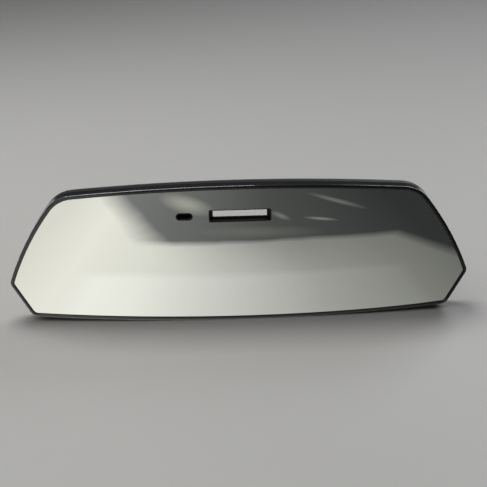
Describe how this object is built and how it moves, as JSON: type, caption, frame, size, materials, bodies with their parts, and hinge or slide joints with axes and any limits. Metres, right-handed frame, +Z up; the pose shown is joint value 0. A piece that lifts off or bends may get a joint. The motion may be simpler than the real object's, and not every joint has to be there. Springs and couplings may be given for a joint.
{
  "type": "clip-on interior rearview mirror",
  "caption": "Wide convex rearview mirror in a thin black shell with angled ends, sensor and display windows, and sprung clips that grip a host mirror.",
  "frame": {"origin": "bottom centre of the whole part, where the shell and the lower hooks stand", "axes": "+X along the mirror's length, to the viewer's right when facing the glass; the glass faces -Y; +Z up"},
  "size_m": [0.2698, 0.0486, 0.0835],
  "materials": {
    "shell_plastic": "glossy moulded black on the rim, fine texture behind",
    "mirror": "convex silvered glass with a ground bevel",
    "foam": "closed-cell foam",
    "black_gloss": "black, low gloss inside",
    "rubber": "soft matte rubber",
    "rail_plastic": "fine spark-eroded texture",
    "steel": "zinc-plated strip",
    "screw_steel": "zinc-plated",
    "pin_steel": "turned steel",
    "spring_steel": "drawn spring wire"
  },
  "bodies": {
    "housing": {"rear_shell": "shell_plastic", "mirror_glass": "mirror", "glass_bonding_sheet": "foam", "display_window_frame": "black_gloss", "sensor_shroud": "rubber", "clip_rail_left": "rail_plastic", "clip_rail_right": "rail_plastic", "rail_cover_left": "steel", "rail_cover_right": "steel", "rail_screws_left": "screw_steel", "rail_screws_right": "screw_steel", "hook_screws_left": "screw_steel", "hook_screws_right": "screw_steel", "host_pads_left": "foam", "host_pads_right": "foam", "lower_hook_left": "steel", "lower_hook_right": "steel", "lower_hook_sleeve_left": "rubber", "lower_hook_sleeve_right": "rubber", "spring_anchor_pin_left": "pin_steel", "spring_anchor_pin_right": "pin_steel", "return_spring_left": "spring_steel", "return_spring_right": "spring_steel"},
    "upper_clip_left": {"upper_slider_left": "steel", "slider_spring_post_left": "pin_steel", "upper_hook_sleeve_left": "rubber", "claw_pin_left": "pin_steel", "claw_spring_left": "spring_steel"},
    "claw_left": {"upper_claw_left": "steel", "claw_grip_left": "rubber"},
    "upper_clip_right": {"upper_slider_right": "steel", "slider_spring_post_right": "pin_steel", "upper_hook_sleeve_right": "rubber", "claw_pin_right": "pin_steel", "claw_spring_right": "spring_steel"},
    "claw_right": {"upper_claw_right": "steel", "claw_grip_right": "rubber"}
  },
  "joints": [
    {"name": "clip_slide_left", "type": "slide", "parent": "housing", "child": "upper_clip_left", "axis": [0, 0, 1], "range_m": [0, 0.024], "stiffness_N_per_m": 250, "springref_m": -0.008, "deforming": ["return_spring_left"]},
    {"name": "claw_pivot_left", "type": "hinge", "parent": "upper_clip_left", "child": "claw_left", "pos_m": [-0.062, 0.0213, 0.0635], "axis": [1, 0, 0], "range_deg": [-15, 50], "stiffness_Nm_per_rad": 0.02},
    {"name": "clip_slide_right", "type": "slide", "parent": "housing", "child": "upper_clip_right", "axis": [0, 0, 1], "range_m": [0, 0.024], "stiffness_N_per_m": 250, "springref_m": -0.008, "deforming": ["return_spring_right"]},
    {"name": "claw_pivot_right", "type": "hinge", "parent": "upper_clip_right", "child": "claw_right", "pos_m": [0.062, 0.0213, 0.0635], "axis": [1, 0, 0], "range_deg": [-15, 50], "stiffness_Nm_per_rad": 0.02}
  ]
}
